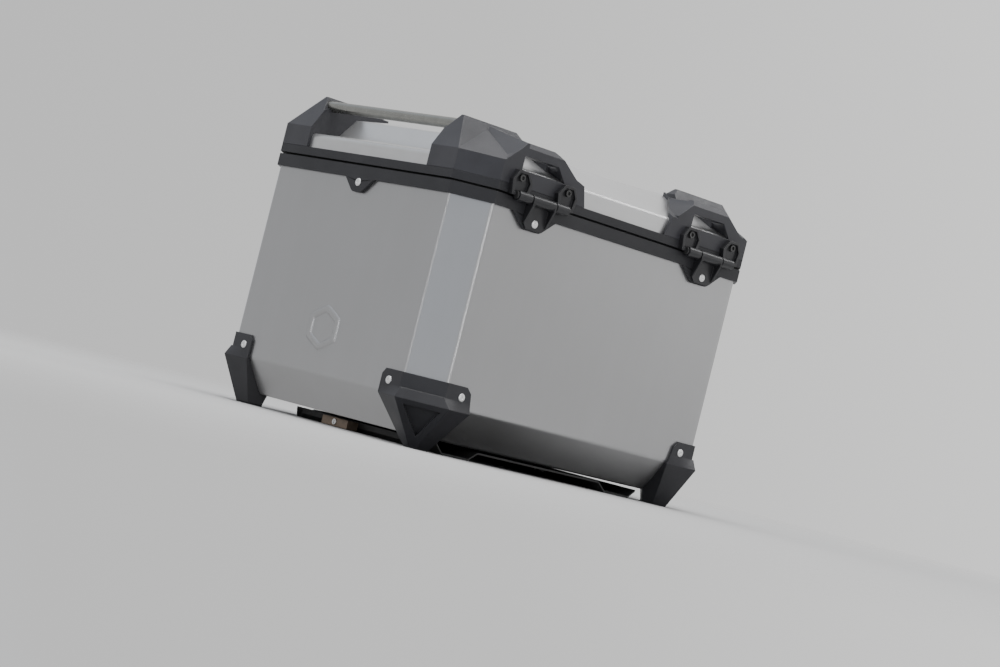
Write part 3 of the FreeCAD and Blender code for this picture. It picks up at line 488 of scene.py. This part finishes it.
def rivet_places():
    """Centre of each rivet head's seat and the way it faces, node by node."""
    places = {}

    low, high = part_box("rim_tab_rivets")
    level = (low.z + high.z) / 2
    seat = high.y - RIVET_CAP
    places["rim_tab_rivets"] = [((0, end * seat, level), (0, end, 0)) for end in (-1, 1)]

    low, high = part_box("hinge_bracket_rivets")
    level = (low.z + high.z) / 2
    seat = high.x - RIVET_CAP
    rows = [low.y + RIVET_HEAD_RADIUS, high.y - RIVET_HEAD_RADIUS]
    places["hinge_bracket_rivets"] = [((seat, row, level), (1, 0, 0)) for row in rows]

    low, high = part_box("latch_base_rivets")
    level = (low.z + high.z) / 2
    seat = low.x + RIVET_CAP
    first = low.y + RIVET_HEAD_RADIUS
    last = high.y - RIVET_HEAD_RADIUS
    rows = [first, first + LATCH_RIVET_PITCH, last - LATCH_RIVET_PITCH, last]
    places["latch_base_rivets"] = [((seat, row, level), (-1, 0, 0)) for row in rows]

    low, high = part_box("protector_rivets")
    level = (low.z + high.z) / 2
    end_seat = high.y - RIVET_CAP
    side_seat = high.x - RIVET_CAP
    corners = [(side, end) for side in (-1, 1) for end in (-1, 1)]
    on_ends = [
        ((side * PROTECTOR_END_REACH, end * end_seat, level), (0, end, 0))
        for side, end in corners
    ]
    on_sides = [
        ((side * side_seat, end * PROTECTOR_SIDE_REACH, level), (side, 0, 0))
        for side, end in corners
    ]
    places["protector_rivets"] = on_ends + on_sides
    return places


def make_rivets(materials):
    """Domed blind rivets with the hollow left by the snapped mandrel."""
    profile = [(radius * MM, height * MM) for radius, height in RIVET_PROFILE]
    for node, places in rivet_places().items():
        def build(mesh, places=places):
            for centre, normal in places:
                lathe(mesh, centre, normal, profile)
        piece = mesh_piece(f"{node}_domed", build, "rivet_metal", "case", materials)
        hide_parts(node)


def rounded_hexagon(radius):
    """Outline points of a hexagon with rounded corners, round the origin."""
    half_sector = math.pi / 6
    points = []
    for step in range(HEXAGON_STEPS):
        angle = 2 * math.pi * step / HEXAGON_STEPS
        sector = (angle + half_sector) % (2 * half_sector) - half_sector
        sharp = math.cos(half_sector) / math.cos(sector)
        reach = radius * (sharp * (1 - HEXAGON_SOFTNESS) + HEXAGON_SOFTNESS * SOFT_REACH)
        points.append((reach * math.cos(angle), reach * math.sin(angle)))
    return points


def make_emblem(materials):
    """Plain hexagonal ring that stands out from the rear wall."""
    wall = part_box("body_shell")[0].y
    centre = Vector((EMBLEM_ACROSS, wall, EMBLEM_LEVEL))

    def build(mesh):
        rings = []
        for radius, height in EMBLEM_PROFILE:
            outline = rounded_hexagon(radius * MM)
            rings.append([
                mesh.verts.new(centre + Vector((across * EMBLEM_STRETCH, -height * MM, along)))
                for across, along in outline
            ])
        for inner, outer in zip(rings, rings[1:]):
            bridge(mesh, inner, outer)

    mesh_piece("rear_emblem_ring", build, "tub_sheet", "case", materials)


# ---------------------------------------------------------------------------
# Studio
# ---------------------------------------------------------------------------
# Ramp place, 0 facing away from WORLD_AXIS and 1 facing along it, and colour.
WORLD_AXIS = (0.52, 0.80, 0.30)
WORLD_STOPS = [
    (0.0, (0.66, 0.665, 0.675)),
    (0.20, (0.68, 0.69, 0.70)),
    (0.387, (0.78, 0.84, 0.93)),
    (0.50, (0.71, 0.71, 0.71)),
    (0.585, (0.77, 0.77, 0.767)),
    (0.68, (1.02, 1.02, 1.015)),
    (0.965, (0.60, 0.60, 0.60)),
]

FLOOR_REACH = 4
FLOOR_FADE = (0.30, 1.5)
CARD_LEVEL = 1.5 * MM
DARK_CARD = ((0.131, -0.32), (0.215, 0.30))
DARK_CARD_FADE = (-0.06, 0.15)
PALE_CARD = ((-0.6, -0.7), (0.10, -0.16))

AREA_LIGHTS = {
    "front_side": dict(
        place=(2.2, 3.6, 1.0), target=(0, 0.1, 0.12), width=2.2, height=1.6, power=11,
    ),
    "floor_fill": dict(
        place=(-0.9, -1.9, 0.9), target=(-0.1, -0.5, 0), width=1.2, height=0.8, power=16,
    ),
    "top": dict(
        place=(0.3, -0.3, 3.5), target=(0, 0, 0.2), width=2.4, height=2.4, power=125,
    ),
    "crest_strip": dict(
        place=(0.7, 2.5, 2.7), target=(0.1, 0, 0.28), width=1.6, height=0.5, power=17,
    ),
    "side_bend_strip": dict(
        place=(3.3, -0.35, 0.35), target=(0.17, -0.16, 0.15), width=0.22, height=2.6, power=17,
    ),
    "rear_bend_strip": dict(
        place=(0.25, -3.4, 0.35), target=(0.13, -0.2, 0.15), width=0.16, height=2.6, power=9,
    ),
}


def area_light(name, place, target, width, height, power):
    data = bpy.data.lights.new(name, "AREA")
    data.shape = "RECTANGLE"
    data.size = width
    data.size_y = height
    data.energy = power
    light = bpy.data.objects.new(name, data)
    bpy.context.scene.collection.objects.link(light)
    light.location = place
    light.rotation_euler = (Vector(target) - Vector(place)).to_track_quat("-Z", "Y").to_euler()
    return light


def plain_plane(name, low, high, level):
    """A level rectangle between two corners that belongs to the stage, not to the part."""
    mesh = bpy.data.meshes.new(name)
    corners = [
        (low[0], low[1], level), (high[0], low[1], level),
        (high[0], high[1], level), (low[0], high[1], level),
    ]
    mesh.from_pydata(corners, [], [(0, 1, 2, 3)])
    plane = bpy.data.objects.new(name, mesh)
    bpy.context.scene.collection.objects.link(plane)
    return plane


def make_world():
    """Grey studio whose brightness and tint change in bands round WORLD_AXIS."""
    world = bpy.data.worlds.new("studio")
    bpy.context.scene.world = world
    world.use_nodes = True
    tree = world.node_tree
    background = tree.nodes["Background"]
    direction = tree.nodes.new("ShaderNodeTexCoord").outputs["Generated"]
    along = tree.nodes.new("ShaderNodeVectorMath")
    along.operation = "DOT_PRODUCT"
    along.inputs[1].default_value = WORLD_AXIS
    tree.links.new(direction, along.inputs[0])
    place_on_ramp = tree.nodes.new("ShaderNodeMapRange")
    place_on_ramp.inputs["From Min"].default_value = -1
    tree.links.new(along.outputs["Value"], place_on_ramp.inputs["Value"])
    ramp = tree.nodes.new("ShaderNodeValToRGB")
    stops = ramp.color_ramp.elements
    stops.remove(stops[1])
    for index, (place, colour) in enumerate(WORLD_STOPS):
        stop = stops[0] if index == 0 else stops.new(place)
        stop.position = place
        stop.color = (*colour, 1)
    tree.links.new(place_on_ramp.outputs["Result"], ramp.inputs["Fac"])
    tree.links.new(ramp.outputs["Color"], background.inputs["Color"])
    background.inputs["Strength"].default_value = 1.0


def make_floor():
    """Pale floor round the case that fades into the studio's grey."""
    low = (-FLOOR_REACH, -FLOOR_REACH)
    high = (FLOOR_REACH, FLOOR_REACH)
    floor = plain_plane("studio_floor", low, high, 0)
    graph = Graph("studio_floor")
    tone = graph.spread(graph.noise(scale=0.8, detail=3), MIDDLE)
    graph.link(graph.blend(tone, grey(0.46), grey(0.48)), graph.shader.inputs["Base Color"])
    graph.shader.inputs["Roughness"].default_value = 0.9
    graph.shader.inputs["Specular IOR Level"].default_value = 0.1
    distance = graph.add("ShaderNodeVectorMath", operation="LENGTH")
    graph.link(graph.place, distance.inputs[0])
    fade = graph.spread(distance.outputs["Value"], FLOOR_FADE, (1, 0))
    graph.link(fade, graph.shader.inputs["Alpha"])
    floor.data.materials.append(graph.material)


def make_dark_card():
    """Dark card on the floor beside the hinge side: it darkens the lower bevel's gloss."""
    card = plain_plane("studio_dark_card", *DARK_CARD, CARD_LEVEL)
    graph = Graph("studio_dark_card")
    tone = graph.blend(graph.noise(scale=3), grey(0.055), grey(0.07))
    graph.link(tone, graph.shader.inputs["Base Color"])
    graph.shader.inputs["Roughness"].default_value = 1.0
    along = graph.add("ShaderNodeSeparateXYZ")
    graph.link(graph.place, along.inputs[0])
    fade = graph.spread(along.outputs["Y"], DARK_CARD_FADE, (1, 0))
    graph.link(fade, graph.shader.inputs["Alpha"])
    card.data.materials.append(graph.material)
    seen_by_gloss_only(card)


def make_pale_card():
    """Pale glow on the floor behind the case: it brightens the rear bevel's gloss."""
    card = plain_plane("studio_pale_card", *PALE_CARD, CARD_LEVEL)
    graph = Graph("studio_pale_card")
    glow = graph.blend(graph.noise(scale=3), grey(0.52), grey(0.55))
    graph.link(glow, graph.shader.inputs["Emission Color"])
    graph.shader.inputs["Emission Strength"].default_value = 1.0
    tone = graph.blend(graph.noise(scale=3), grey(0.02), grey(0.03))
    graph.link(tone, graph.shader.inputs["Base Color"])
    card.data.materials.append(graph.material)
    seen_by_gloss_only(card)


def seen_by_gloss_only(card):
    """Leave a card in reflections and take it out of everything else."""
    card.visible_camera = False
    card.visible_diffuse = False
    card.visible_shadow = False
    card.visible_transmission = False


def make_studio():
    make_world()
    make_floor()
    make_dark_card()
    make_pale_card()
    lights = {name: area_light(name, **values) for name, values in AREA_LIGHTS.items()}
    lights["floor_fill"].visible_glossy = False


make_camera()
materials = make_materials()
dress_nodes(materials)
soften_edges()
make_rivets(materials)
make_emblem(materials)
make_studio()
